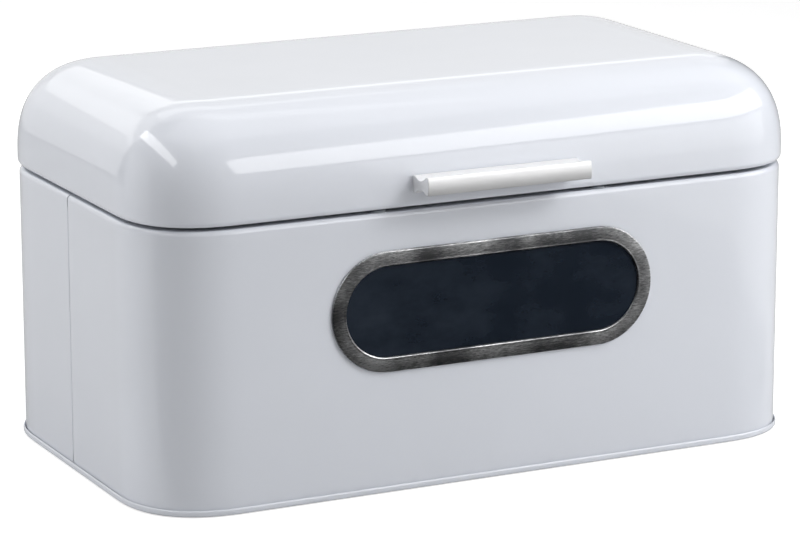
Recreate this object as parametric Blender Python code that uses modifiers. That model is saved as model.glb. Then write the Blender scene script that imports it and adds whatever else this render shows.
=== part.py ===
"""Bread bin with a one-piece lid that lifts on two hinges at the back.

Metres, +Z up, front towards -Y. The origin is the middle of the whole object's footprint, on the surface
that the four pads stand on.
"""

import math

import bmesh
import bpy
from mathutils import Matrix, Vector

MM = 0.001

# Sheet-metal body and lid
WIDTH = 425 * MM
DEPTH = 242.6 * MM
BODY_TOP = 164.6 * MM
LID_EDGE = 166.6 * MM
LID_TOP = 229.7 * MM
LID_OVERHANG = 0.7 * MM
SHEET = 0.6 * MM
CORNER_REACH = 56 * MM
CORNER_POWER = 2.45
CORNER_STEPS = 10
LID_CORNER_STEPS = 8
FIT_GAP = 0.3 * MM
SEAM_Y = 3.5 * MM
SEAM_GAP = 0.4 * MM
SEAM_LAP = 7 * MM
SEAM_END = 3 * MM
SEAM_STEP = 1 * MM

# Rolled edges
LEDGE_REACH = 13 * MM
LEDGE_RADIUS = 3 * MM
LEDGE_LIP = 5 * MM
LID_FLANGE_REACH = 9 * MM
LID_EDGE_RADIUS = 4 * MM
LID_LIP = 4 * MM
LIP_RADIUS = 1 * MM
ROLL_STEPS = 4
WALL_FOOT = 1.6 * MM

# Base pan and its pads
PAN_HEIGHT = 4.6 * MM
BEAD_BOTTOM = 0.5 * MM
BEAD_HEIGHT = 4.2 * MM
BEAD_REACH = 1.6 * MM
BEAD_INNER = 2.4 * MM
BEAD_RADIUS = 1.1 * MM
PAD_RADIUS = 7 * MM
PAD_ROUNDING = 0.8 * MM
PAD_INSET = 30 * MM

# Window in the front wall: a slot shape, straight between two half-round ends
WINDOW_HEIGHT = 71 * MM
WINDOW_WIDTH = 207 * MM
WINDOW_Z = 107.4 * MM
FRAME_BAND = 8.9 * MM
FRAME_PROUD = 1.8 * MM
FRAME_BEAD = 1 * MM
FRAME_SINK = 0.7 * MM
FRAME_LIP_WIDTH = 1.2 * MM
FRAME_LIP_HEIGHT = 0.4 * MM
COLLAR_OFFSET = 0.8 * MM
COLLAR_THICKNESS = 1 * MM
COLLAR_DEPTH = 2.1 * MM
PANE_THICKNESS = 2 * MM
RETAINER_BAND = 7.5 * MM
RETAINER_THICKNESS = 1 * MM
RETAINER_OVERHANG = 0.6 * MM
END_STEPS = 14

# Handle: an extruded bar with a foot, a waist and a front plate
HANDLE_LENGTH = 105 * MM
HANDLE_Z = 180.2 * MM
HANDLE_REACH = 19.4 * MM
FOOT_HEIGHT = 10 * MM
PLATE_HEIGHT = 10.4 * MM
PLATE_LIFT = 0.7 * MM
FLANGE_THICKNESS = 2.4 * MM
WAIST_DEPTH = 2.6 * MM
PLATE_CROWN = 0.9 * MM
HANDLE_STEPS = 8
SCREW_SPACING = 64 * MM
SCREW_RADIUS = 2 * MM
SCREW_LENGTH = 11 * MM
SCREW_HEAD_RADIUS = 3.8 * MM
SCREW_HEAD_HEIGHT = 2.4 * MM
SCREW_TIP = 0.5 * MM
SOCKET_RADIUS = 1.3 * MM
SOCKET_DEPTH = 1.2 * MM
WASHER_RADIUS = 4.6 * MM
WASHER_THICKNESS = 0.8 * MM

# Hinges on the back
HINGE_X = 125 * MM
HINGE_WIDTH = 36 * MM
LEAF_THICKNESS = 1 * MM
LEAF_HEIGHT = 17 * MM
KNUCKLE_RADIUS = 2.5 * MM
KNUCKLE_MIDDLE = 12 * MM
PIN_RADIUS = 1.2 * MM
PIN_HEAD_RADIUS = 1.9 * MM
PIN_HEAD_LENGTH = 0.8 * MM
RIVET_X = 10.5 * MM
RIVET_DROP = 11 * MM
RIVET_RADIUS = 1.5 * MM
RIVET_HEAD_RADIUS = 2.8 * MM
RIVET_HEAD_HEIGHT = 1.2 * MM
RIVET_TAIL_RADIUS = 2.4 * MM
RIVET_TAIL_HEIGHT = 0.9 * MM

# Soft buffers that the closed lid rests on
BUFFER_X = 71 * MM
BUFFER_INSET = 6.2 * MM
BUFFER_RADIUS = 4.8 * MM
BUFFER_HEIGHT = 1.4 * MM
BUFFER_EDGE = 0.4 * MM
BUFFER_SEAT = 0.1 * MM

# Air holes in the back wall
VENT_RADIUS = 2.5 * MM
VENT_PITCH = 12 * MM
VENT_COLUMNS = 5
VENT_ROWS = 2
VENT_Z = 128 * MM

# Derived places
WALL_BACK = DEPTH / 2
WALL_FRONT = -DEPTH / 2
LID_BACK = WALL_BACK + LID_OVERHANG
LID_FRONT = WALL_FRONT - LID_OVERHANG
AXIS_Y = LID_BACK + FIT_GAP + KNUCKLE_RADIUS
AXIS_Z = (BODY_TOP + LID_EDGE) / 2
HOLE_GAP = 0.3 * MM
CUTTER_REACH = 5 * MM
ROUND_SIDES = 20
SMALL_SIDES = 12

PARTS = "bread_bin"
CUTTERS = "bread_bin_cutters"


# ---------------------------------------------------------------- scene and helpers


def clear_scene():
    for old in list(bpy.data.objects):
        bpy.data.objects.remove(old, do_unlink=True)
    for old in list(bpy.data.collections):
        bpy.data.collections.remove(old)


def new_collection(name):
    collection = bpy.data.collections.new(name)
    bpy.context.scene.collection.children.link(collection)
    return collection


def make_material(name, colour, roughness, metallic=0.0, alpha=1.0):
    material = bpy.data.materials.new(name)
    material.use_nodes = True
    shader = material.node_tree.nodes["Principled BSDF"]
    shader.inputs["Base Color"].default_value = (*colour, 1.0)
    shader.inputs["Roughness"].default_value = roughness
    shader.inputs["Metallic"].default_value = metallic
    shader.inputs["Alpha"].default_value = alpha
    return material


def make_frame(name, location, parent=None):
    """An empty that carries pieces; location is in the parent's own space."""
    empty = bpy.data.objects.new(name, None)
    bpy.data.collections[PARTS].objects.link(empty)
    empty.location = location
    empty.parent = parent
    return empty


def add_object(name, mesh, collection=PARTS):
    obj = bpy.data.objects.new(name, mesh)
    bpy.data.collections[collection].objects.link(obj)
    return obj


def mesh_from(bm, name):
    mesh = bpy.data.meshes.new(name)
    bm.to_mesh(mesh)
    bm.free()
    return mesh


def finish(obj, parent, material, smooth_angle=35):
    """Gives a piece its material, smooth shading and parent, keeping its place in the body's space."""
    obj.data.materials.append(material)
    obj.data.shade_smooth()
    obj.data.set_sharp_from_angle(angle=math.radians(smooth_angle))
    obj.parent = parent
    if parent.parent:
        obj.matrix_parent_inverse = parent.matrix_basis.inverted()
    return obj


def make_cutter(obj):
    for collection in list(obj.users_collection):
        collection.objects.unlink(obj)
    bpy.data.collections[CUTTERS].objects.link(obj)
    obj.hide_render = True
    obj.display_type = "WIRE"
    return obj


def boolean(obj, other, operation="DIFFERENCE"):
    modifier = obj.modifiers.new(other.name, "BOOLEAN")
    modifier.operation = operation
    modifier.object = make_cutter(other)
    modifier.solver = "EXACT"
    return modifier


def apply_modifiers(obj):
    """Replaces the object's mesh by its evaluated one, so that a piece is plain once it is placed."""
    depsgraph = bpy.context.evaluated_depsgraph_get()
    mesh = bpy.data.meshes.new_from_object(obj.evaluated_get(depsgraph))
    obj.modifiers.clear()
    obj.data = mesh
    return obj


def as_mesh(curve_object):
    """The curve's evaluated shape as a mesh object, with its loose caps welded."""
    depsgraph = bpy.context.evaluated_depsgraph_get()
    mesh = bpy.data.meshes.new_from_object(curve_object.evaluated_get(depsgraph))
    bm = bmesh.new()
    bm.from_mesh(mesh)
    bmesh.ops.remove_doubles(bm, verts=bm.verts, dist=0.01 * MM)
    bm.to_mesh(mesh)
    bm.free()
    name = curve_object.name
    place = curve_object.matrix_world.copy()
    bpy.data.objects.remove(curve_object, do_unlink=True)
    obj = add_object(name, mesh)
    obj.matrix_world = place
    return obj


def poly_curve(name, points, cyclic):
    """A flat curve through (x, y) points."""
    curve = bpy.data.curves.new(name, "CURVE")
    curve.dimensions = "2D"
    spline = curve.splines.new("POLY")
    spline.points.add(len(points) - 1)
    for point, (x, y) in zip(spline.points, points):
        point.co = (x, y, 0, 1)
    spline.use_cyclic_u = cyclic
    return curve


def flat_plate(name, outline, thickness):
    """A closed outline in XY, thickened evenly about its plane."""
    curve = poly_curve(name, outline, True)
    curve.fill_mode = "BOTH"
    curve.extrude = thickness / 2
    return as_mesh(add_object(name, curve))


def swept(name, path, path_closed, section, section_closed):
    """A section of (inward, height) points carried along a path in XY that runs clockwise."""
    guide = poly_curve(name + "_section", section, section_closed)
    guide.dimensions = "3D"
    guide_object = make_cutter(add_object(guide.name, guide))
    curve = poly_curve(name, path, path_closed)
    curve.fill_mode = "NONE"
    curve.bevel_mode = "OBJECT"
    curve.bevel_object = guide_object
    obj = as_mesh(add_object(name, curve))
    bpy.data.objects.remove(guide_object, do_unlink=True)
    return obj


def box(name, low, high):
    bm = bmesh.new()
    size = Vector(high) - Vector(low)
    middle = (Vector(high) + Vector(low)) / 2
    place = Matrix.Translation(middle) @ Matrix.Diagonal((*size, 1))
    bmesh.ops.create_cube(bm, size=1, matrix=place)
    return add_object(name, mesh_from(bm, name))


def rod(name, radius, start, end, sides=SMALL_SIDES):
    """A closed cylinder between two points."""
    start = Vector(start)
    end = Vector(end)
    along = end - start
    turn = Vector((0, 0, 1)).rotation_difference(along).to_matrix().to_4x4()
    place = Matrix.Translation((start + end) / 2) @ turn
    bm = bmesh.new()
    bmesh.ops.create_cone(
        bm, cap_ends=True, segments=sides, radius1=radius, radius2=radius, depth=along.length, matrix=place
    )
    return add_object(name, mesh_from(bm, name))


def turned(name, profile, sides=ROUND_SIDES):
    """A profile of (radius, height) points, top to bottom down its outer side, turned about Z."""
    bm = bmesh.new()
    verts = [bm.verts.new((radius, 0, height)) for radius, height in profile]
    for first, second in zip(verts, verts[1:]):
        bm.edges.new((first, second))
    obj = add_object(name, mesh_from(bm, name))
    screw = obj.modifiers.new("Turn", "SCREW")
    screw.steps = sides
    screw.render_steps = sides
    screw.use_merge_vertices = True
    screw.merge_threshold = 0.01 * MM
    return obj


# ---------------------------------------------------------------- outlines and sections


def corner(side, end):
    """The plan's corner, from the side wall to the front or back wall: a superellipse quarter."""
    points = []
    for step in range(CORNER_STEPS + 1):
        angle = math.pi / 2 * step / CORNER_STEPS
        x = WIDTH / 2 - CORNER_REACH + CORNER_REACH * abs(math.cos(angle)) ** (2 / CORNER_POWER)
        y = DEPTH / 2 - CORNER_REACH + CORNER_REACH * abs(math.sin(angle)) ** (2 / CORNER_POWER)
        points.append((side * x, end * y))
    return points


def front_outline():
    edge_y = SEAM_Y - SEAM_GAP / 2
    corners = corner(1, -1) + corner(-1, -1)[::-1]
    return [(WIDTH / 2, edge_y)] + corners + [(-WIDTH / 2, edge_y)]


def back_outline():
    edge_y = SEAM_Y + SEAM_GAP / 2
    corners = corner(-1, 1) + corner(1, 1)[::-1]
    return [(-WIDTH / 2, edge_y)] + corners + [(WIDTH / 2, edge_y)]


def plan_outline():
    return front_outline()[1:-1] + back_outline()[1:-1]


def slot_outline(radius, half_straight):
    """A slot shape, clockwise: two half circles of the given radius joined by straight sides."""
    points = []
    for side, start in ((1, 90), (-1, 270)):
        for step in range(END_STEPS + 1):
            angle = math.radians(start - 180 * step / END_STEPS)
            points.append((side * half_straight + radius * math.cos(angle), radius * math.sin(angle)))
    return points


def arc(centre, radius, start, end, steps=ROLL_STEPS):
    """Points on an arc, in degrees, with both ends."""
    points = []
    for step in range(steps + 1):
        angle = math.radians(start + (end - start) * step / steps)
        points.append((centre[0] + radius * math.cos(angle), centre[1] + radius * math.sin(angle)))
    return points


def wall_section():
    """From the foot of the wall up, over its rolled top and down the inner lip."""
    middle = SHEET / 2
    top = BODY_TOP - middle
    outer_radius = LEDGE_RADIUS - middle
    section = [(middle, WALL_FOOT)]
    section += arc((LEDGE_RADIUS, top - outer_radius), outer_radius, 180, 90)
    section += arc((LEDGE_REACH - LIP_RADIUS, top - LIP_RADIUS), LIP_RADIUS, 90, 0)
    section += [(LEDGE_REACH, top - LEDGE_LIP)]
    return section


def lid_roll():
    """How the lid's lower edge turns in: steps of (inward, height) from the wall's lower edge."""
    radius = LID_EDGE_RADIUS - SHEET
    points = arc((radius, 0), radius, 180, 270)
    points += arc((LID_FLANGE_REACH - LIP_RADIUS, LIP_RADIUS - radius), LIP_RADIUS, 270, 360)
    points += [(LID_FLANGE_REACH, LID_LIP - radius)]
    return points


def pan_section():
    """From the flat of the pan out and down, round below the wall's foot and up its outer face."""
    middle = SHEET / 2
    inner = BEAD_INNER
    outer = middle - BEAD_REACH
    bottom = BEAD_BOTTOM + middle
    plate = PAN_HEIGHT + middle
    section = [(PAD_INSET / 2, plate)]
    section += arc((inner + BEAD_RADIUS, plate - BEAD_RADIUS), BEAD_RADIUS, 90, 180)
    section += arc((inner - BEAD_RADIUS, bottom + BEAD_RADIUS), BEAD_RADIUS, 0, -90)
    section += arc((outer + BEAD_RADIUS, bottom + BEAD_RADIUS), BEAD_RADIUS, 270, 180)
    section += [(outer, BEAD_HEIGHT - BEAD_RADIUS)]
    section += [(outer + BEAD_RADIUS * 0.5, BEAD_HEIGHT)]
    return section


# ---------------------------------------------------------------- body


def solidify(obj, offset=0.0):
    modifier = obj.modifiers.new("Sheet", "SOLIDIFY")
    modifier.thickness = SHEET
    modifier.offset = offset
    modifier.use_even_offset = True
    modifier.use_rim = True
    return obj


def front_wall(frame, paint):
    wall = solidify(swept("front_wall", front_outline(), False, wall_section(), False))
    opening_radius = WINDOW_HEIGHT / 2 - FRAME_BAND + COLLAR_OFFSET + COLLAR_THICKNESS + FIT_GAP
    outline = slot_outline(opening_radius, window_half_straight())
    cutter = flat_plate("window_cutter", outline, 2 * CUTTER_REACH)
    boolean(wall, stand_on_front(cutter, 0))
    return finish(apply_modifiers(wall), frame, paint)


def back_wall(frame, paint):
    wall = solidify(swept("back_wall", back_outline(), False, wall_section(), False))
    for side in (-1, 1):
        for low, high in seam_tongue(side):
            boolean(wall, box("seam_tongue_form", low, high), "UNION")
    for x, z in rivet_places(-1):
        boolean(wall, hole_in_back("rivet_cutter", RIVET_RADIUS + HOLE_GAP, x, z))
    for x, z in vent_places():
        boolean(wall, hole_in_back("vent_cutter", VENT_RADIUS, x, z))
    return finish(apply_modifiers(wall), frame, paint)


def hole_in_back(name, radius, x, z):
    return rod(name, radius, (x, WALL_BACK - CUTTER_REACH, z), (x, WALL_BACK + CUTTER_REACH, z))


def seam_tongue(side):
    """Two boxes: the tongue that laps behind the front wall's edge, and the fold that carries it."""
    inner = side * (WIDTH / 2 - 2 * SHEET - FIT_GAP)
    outer = side * (WIDTH / 2 - SHEET - FIT_GAP)
    buried = side * (WIDTH / 2 - SHEET / 2)
    low_z = WALL_FOOT + PAN_HEIGHT + SEAM_END
    high_z = BODY_TOP - LEDGE_LIP - SEAM_END
    boxes = []
    for near, far, start, end in (
        (inner, outer, SEAM_Y - SEAM_LAP, SEAM_Y + SEAM_LAP),
        (inner, buried, SEAM_Y + SEAM_GAP + SEAM_STEP, SEAM_Y + SEAM_LAP - SEAM_STEP),
    ):
        boxes.append(((min(near, far), start, low_z), (max(near, far), end, high_z)))
        low_z += SEAM_STEP
        high_z -= SEAM_STEP
    return boxes


def vent_places():
    places = []
    for column in range(VENT_COLUMNS):
        for row in range(VENT_ROWS):
            x = (column - (VENT_COLUMNS - 1) / 2) * VENT_PITCH
            places.append((x, VENT_Z + row * VENT_PITCH))
    return places


def base_pan(frame, paint):
    pan = swept("base_pan", plan_outline(), True, pan_section(), False)
    bm = bmesh.new()
    bm.from_mesh(pan.data)
    inner = [e for e in bm.edges if e.is_boundary and e.verts[0].co.z > PAN_HEIGHT]
    bmesh.ops.contextual_create(bm, geom=inner)
    bmesh.ops.recalc_face_normals(bm, faces=bm.faces)
    bm.to_mesh(pan.data)
    bm.free()
    return finish(apply_modifiers(solidify(pan)), frame, paint)


def foot_pads(frame, rubber):
    for end, end_name in ((-1, "front"), (1, "back")):
        for side, side_name in ((-1, "left"), (1, "right")):
            height = PAN_HEIGHT - FIT_GAP
            profile = [(0, height), (PAD_RADIUS, height)]
            profile += arc((PAD_RADIUS - PAD_ROUNDING, PAD_ROUNDING), PAD_ROUNDING, 0, -90, 3)
            profile += [(0, 0)]
            pad = turned(f"foot_pad_{end_name}_{side_name}", profile)
            pad.location = (side * (WIDTH / 2 - PAD_INSET), end * (DEPTH / 2 - PAD_INSET), 0)
            finish(pad, frame, rubber)


def lid_buffers(frame, silicone):
    """Domed buffers on the body's ledge, just under the lid's turned-in edge."""
    steps = 5
    profile = []
    for step in range(steps + 1):
        angle = math.pi / 2 * (1 - step / steps)
        radius = BUFFER_RADIUS * math.cos(angle) if step else 0.0
        profile.append((radius, BUFFER_EDGE + (BUFFER_HEIGHT - BUFFER_EDGE) * math.sin(angle)))
    profile += [(BUFFER_RADIUS, 0), (0, 0)]
    for side, side_name in ((-1, "left"), (1, "right")):
        dome = turned(f"lid_buffer_{side_name}", profile)
        dome.location = (side * BUFFER_X, WALL_FRONT + BUFFER_INSET, BODY_TOP + BUFFER_SEAT)
        finish(dome, frame, silicone)


# ---------------------------------------------------------------- window


def window_half_straight():
    return (WINDOW_WIDTH - WINDOW_HEIGHT) / 2


def stand_on_front(obj, outward):
    """Turns a piece made in XY to face -Y at the window's centre, outward from the wall's outer face."""
    obj.rotation_euler = (math.radians(90), 0, 0)
    obj.location = (0, WALL_FRONT - outward, WINDOW_Z)
    return obj


def window_ring(name, section):
    """A section of (inward from the frame's outer edge, outward from the wall), all round the window."""
    outline = slot_outline(WINDOW_HEIGHT / 2, window_half_straight())
    return stand_on_front(swept(name, outline, True, section, True), 0)


def window_frame(frame, metal):
    """A flat band with a raised outer bead, and a collar through the wall that holds the pane's edge."""
    band = FRAME_BAND
    bead = FRAME_BEAD
    face = FRAME_PROUD - FRAME_SINK
    lip_start = band - FRAME_LIP_WIDTH
    lip_top = band - FRAME_LIP_WIDTH / 2
    collar_inner = band - COLLAR_OFFSET
    collar_outer = collar_inner - COLLAR_THICKNESS
    section = [(0, FIT_GAP)]
    section += arc((bead, FRAME_PROUD - bead), bead, 180, 30, 5)
    section += [(2.3 * bead, face), (lip_start, face), (lip_top, face + FRAME_LIP_HEIGHT)]
    section += [(band, face + FRAME_LIP_HEIGHT / 4), (band, FIT_GAP * 2), (collar_inner, FIT_GAP * 2)]
    section += [(collar_inner, -COLLAR_DEPTH), (collar_outer, -COLLAR_DEPTH), (collar_outer, FIT_GAP)]
    return finish(window_ring("window_frame", section), frame, metal)


def window_pane(frame, smoked):
    radius = WINDOW_HEIGHT / 2 - FRAME_BAND + COLLAR_OFFSET - FIT_GAP
    pane = flat_plate("window_pane", slot_outline(radius, window_half_straight()), PANE_THICKNESS)
    return finish(stand_on_front(pane, FIT_GAP - PANE_THICKNESS / 2), frame, smoked)


def window_retainer(frame, metal):
    """The ring inside the body: a band behind the pane and collar, with an outer leg on the wall."""
    outer = FRAME_BAND - COLLAR_OFFSET - COLLAR_THICKNESS - RETAINER_BAND + COLLAR_OFFSET
    inner = FRAME_BAND + RETAINER_OVERHANG
    front = -COLLAR_DEPTH - FIT_GAP
    back = front - RETAINER_THICKNESS
    leg = -SHEET - FIT_GAP
    section = [(outer, back), (outer, leg), (outer + RETAINER_THICKNESS, leg)]
    section += [(outer + RETAINER_THICKNESS, front), (inner, front), (inner, back)]
    return finish(window_ring("window_retainer", section), frame, metal)


# ---------------------------------------------------------------- lid


def lid_shell(frame, paint):
    """A box without its lower face, with every edge rounded, whose lower edge is then rolled in."""
    low = LID_EDGE + LID_EDGE_RADIUS - SHEET
    half = Vector((WIDTH / 2 + LID_OVERHANG, LID_BACK, (LID_TOP - low) / 2))
    bm = bmesh.new()
    place = Matrix.Translation((0, 0, low + half.z)) @ Matrix.Diagonal((*(2 * half), 1))
    bmesh.ops.create_cube(bm, size=1, matrix=place)
    bottom = [face for face in bm.faces if face.normal.z < -0.5]
    bmesh.ops.delete(bm, geom=bottom, context="FACES_ONLY")
    lid = add_object("lid_shell", mesh_from(bm, "lid_shell"))
    bevel = lid.modifiers.new("Rounding", "BEVEL")
    bevel.width = CORNER_REACH
    bevel.segments = LID_CORNER_STEPS
    bevel.profile = 2 ** (-2 / CORNER_POWER)
    bevel.limit_method = "ANGLE"
    apply_modifiers(lid)
    roll_in(lid, lid_roll())
    apply_modifiers(solidify(lid, -1.0))
    for x, z in rivet_places(1):
        boolean(lid, hole_in_back("rivet_cutter", RIVET_RADIUS + HOLE_GAP, x, z))
    for x in screw_places():
        boolean(lid, screw_hole(CUTTER_REACH, CUTTER_REACH, x))
    return finish(apply_modifiers(lid), frame, paint)


def roll_in(obj, steps):
    """Extrudes the open lower edge along (inward, height) steps, square to the wall at each point."""
    bm = bmesh.new()
    bm.from_mesh(obj.data)
    bm.normal_update()
    edges = [edge for edge in bm.edges if edge.is_boundary]
    verts = {vert for edge in edges for vert in edge.verts}
    ways = {vert: Vector((vert.normal.x, vert.normal.y, 0)).normalized() for vert in verts}
    starts = {vert: vert.co.copy() for vert in verts}
    for inward, height in steps[1:]:
        made = bmesh.ops.extrude_edge_only(bm, edges=edges)["geom"]
        new_verts = [item for item in made if isinstance(item, bmesh.types.BMVert)]
        new_ways = {}
        new_starts = {}
        for vert in new_verts:
            old = min(starts, key=lambda other: (other.co - vert.co).length)
            new_ways[vert] = ways[old]
            new_starts[vert] = starts[old]
        for vert in new_verts:
            vert.co = new_starts[vert] - new_ways[vert] * inward + Vector((0, 0, height))
        edges = [item for item in made if isinstance(item, bmesh.types.BMEdge) and item.is_boundary]
        ways = new_ways
        starts = new_starts
    bmesh.ops.recalc_face_normals(bm, faces=bm.faces)
    bm.to_mesh(obj.data)
    bm.free()


def lid_rise(z):
    """How far up the lid's rounding a height lies, from 0 where it starts to 1 at the top."""
    return (z - (LID_TOP - CORNER_REACH)) / CORNER_REACH


def lid_inset(z):
    """How far the lid's wall has curved in from its lower edge at a height on its rounding."""
    return CORNER_REACH * (1 - (1 - lid_rise(z) ** CORNER_POWER) ** (1 / CORNER_POWER))


def lid_lean(z):
    """The angle between the lid's wall and the vertical at a height on its rounding."""
    rise = lid_rise(z)
    slope = rise ** (CORNER_POWER - 1) / (1 - rise**CORNER_POWER) ** (1 - 1 / CORNER_POWER)
    return math.atan(slope)


def handle_place():
    """The handle's seat on the lid: -Y square out of the leaning wall, +Z up along it."""
    seat = Vector((0, LID_FRONT + lid_inset(HANDLE_Z), HANDLE_Z))
    return Matrix.Translation(seat) @ Matrix.Rotation(-lid_lean(HANDLE_Z), 4, "X")


def screw_hole(inward, outward, x):
    """A cutter for one screw, from inside the lid to outside it."""
    place = handle_place()
    start = place @ Vector((x, inward, 0))
    return rod("screw_cutter", SCREW_RADIUS + HOLE_GAP, start, place @ Vector((x, -outward, 0)))


def screw_places():
    return (-SCREW_SPACING / 2, SCREW_SPACING / 2)


def body_shift():
    """How far back the body stands so that handle and hinges reach equally far from the origin."""
    place = handle_place()
    bar = [place @ Vector((0, -FIT_GAP - outward, height)) for outward, height in handle_section()]
    foremost = min(point.y for point in bar)
    return -(foremost + AXIS_Y + KNUCKLE_RADIUS) / 2


def handle_section():
    """The bar's outline as (outward, height): foot on the lid, hollowed waist, crowned front plate."""
    foot = FOOT_HEIGHT / 2
    plate = PLATE_HEIGHT / 2
    inner = FLANGE_THICKNESS
    outer = HANDLE_REACH - PLATE_CROWN - FLANGE_THICKNESS
    steps = HANDLE_STEPS
    upper = []
    for step in range(steps + 1):
        part = step / steps
        edge = foot + (plate + PLATE_LIFT - foot) * part
        upper.append((inner + (outer - inner) * part, edge - WAIST_DEPTH * math.sin(math.pi * part)))
    lower = []
    for step in range(steps + 1):
        part = 1 - step / steps
        edge = -foot + (PLATE_LIFT - plate + foot) * part
        lower.append((inner + (outer - inner) * part, edge + WAIST_DEPTH * math.sin(math.pi * part)))
    front = []
    for step in range(steps + 1):
        part = step / steps
        height = PLATE_LIFT + plate - PLATE_HEIGHT * part
        front.append((HANDLE_REACH - PLATE_CROWN * (2 * part - 1) ** 2, height))
    return [(0, foot)] + upper + front + lower + [(0, -foot)]


def handle_bar(frame, aluminium):
    """The section extruded along X, with a blind hole in the foot for each screw."""
    bar = flat_plate("handle_bar", handle_section(), HANDLE_LENGTH)
    out_and_up = Matrix(((0, 0, 1, 0), (-1, 0, 0, 0), (0, 1, 0, 0), (0, 0, 0, 1)))
    bar.matrix_basis = handle_place() @ Matrix.Translation((0, -FIT_GAP, 0)) @ out_and_up
    for x in screw_places():
        boolean(bar, screw_hole(CUTTER_REACH, SCREW_LENGTH + FIT_GAP, x))
    return finish(apply_modifiers(bar), frame, aluminium)


def point_outward(obj, x, inward):
    """Turns a piece made about +Z to point out of the handle's seat."""
    turn = Matrix.Rotation(math.radians(90), 4, "X")
    obj.matrix_basis = handle_place() @ Matrix.Translation((x, inward, 0)) @ turn


def handle_screws(frame, steel):
    """Pan-head screws from inside the lid; the shank runs into the bar's foot."""
    inside = SHEET + WASHER_THICKNESS + 2 * FIT_GAP
    shank = SCREW_LENGTH - SCREW_TIP + inside
    radius = SCREW_RADIUS
    head = SCREW_HEAD_RADIUS
    back = -SCREW_HEAD_HEIGHT
    profile = [(0, shank), (radius - SCREW_TIP, shank), (radius, shank - SCREW_TIP), (radius, 0)]
    profile += [(head, 0), (head, back * 0.55), (head * 0.8, back * 0.92), (head * 0.5, back)]
    profile += [(SOCKET_RADIUS, back), (SOCKET_RADIUS, back + SOCKET_DEPTH), (0, back + SOCKET_DEPTH)]
    for x, side_name in zip(screw_places(), ("left", "right")):
        screw = turned(f"handle_screw_{side_name}", profile, SMALL_SIDES)
        point_outward(screw, x, inside)
        finish(screw, frame, steel)


def handle_washers(frame, steel):
    hole = SCREW_RADIUS + HOLE_GAP
    top = WASHER_THICKNESS
    profile = [(hole, top), (WASHER_RADIUS, top), (WASHER_RADIUS, 0), (hole, 0), (hole, top)]
    for x, side_name in zip(screw_places(), ("left", "right")):
        washer = turned(f"handle_washer_{side_name}", profile, ROUND_SIDES)
        point_outward(washer, x, SHEET + FIT_GAP + top)
        finish(washer, frame, steel)


# ---------------------------------------------------------------- hinges


def rivet_places(up):
    """(x, z) of the rivets of the lid's leaves (up = 1) or the body's (up = -1)."""
    places = []
    for side in (-1, 1):
        for half in (-1, 1):
            places.append((side * HINGE_X + half * RIVET_X, AXIS_Z + up * RIVET_DROP))
    return places


def rod_on_axis(name, radius, x, half):
    """A rod along the lid's turning axis, half its length to each side of x."""
    return rod(name, radius, (x - half, AXIS_Y, AXIS_Z), (x + half, AXIS_Y, AXIS_Z), ROUND_SIDES)


def hinge_leaf(name, x, up):
    """A plate with its knuckles; the lid's leaf (up = 1) has the middle one, the body's the outer two."""
    near = (LID_BACK if up > 0 else WALL_BACK) + FIT_GAP
    far = LID_BACK + FIT_GAP + LEAF_THICKNESS
    half = HINGE_WIDTH / 2
    ends = sorted((AXIS_Z, AXIS_Z + up * LEAF_HEIGHT))
    leaf = box(name, (x - half, near, ends[0]), (x + half, far, ends[1]))
    boolean(leaf, rod_on_axis("knuckle_form", KNUCKLE_RADIUS, x, half), "UNION")
    past = half + CUTTER_REACH
    boolean(leaf, rod_on_axis("pin_cutter", PIN_RADIUS + HOLE_GAP, x, past))
    clear = KNUCKLE_RADIUS + HOLE_GAP
    middle = KNUCKLE_MIDDLE / 2
    spans = ((-past, -middle), (middle, past)) if up > 0 else ((-middle - FIT_GAP, middle + FIT_GAP),)
    for start, end in spans:
        low = (x + start, AXIS_Y - CUTTER_REACH, AXIS_Z - clear)
        boolean(leaf, box("knuckle_cutter", low, (x + end, AXIS_Y + CUTTER_REACH, AXIS_Z + clear)))
    for hole in (-RIVET_X, RIVET_X):
        z = AXIS_Z + up * RIVET_DROP
        boolean(leaf, hole_in_back("rivet_cutter", RIVET_RADIUS + HOLE_GAP, x + hole, z))
    return apply_modifiers(leaf)


def hinges(frame, lid_frame, steel):
    for side, side_name in ((-1, "left"), (1, "right")):
        x = side * HINGE_X
        finish(hinge_leaf(f"hinge_body_leaf_{side_name}", x, -1), frame, steel)
        finish(hinge_leaf(f"hinge_lid_leaf_{side_name}", x, 1), lid_frame, steel)
        half = HINGE_WIDTH / 2 + FIT_GAP
        head = PIN_HEAD_RADIUS
        length = PIN_HEAD_LENGTH
        end = [(0, half + length), (head * 0.7, half + length), (head, half + length / 2), (head, half)]
        end += [(PIN_RADIUS, half)]
        profile = end + [(radius, -height) for radius, height in reversed(end)]
        pin = turned(f"hinge_pin_{side_name}", profile, SMALL_SIDES)
        pin.rotation_euler = (0, math.radians(90), 0)
        pin.location = (x, AXIS_Y, AXIS_Z)
        finish(pin, frame, steel)


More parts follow.
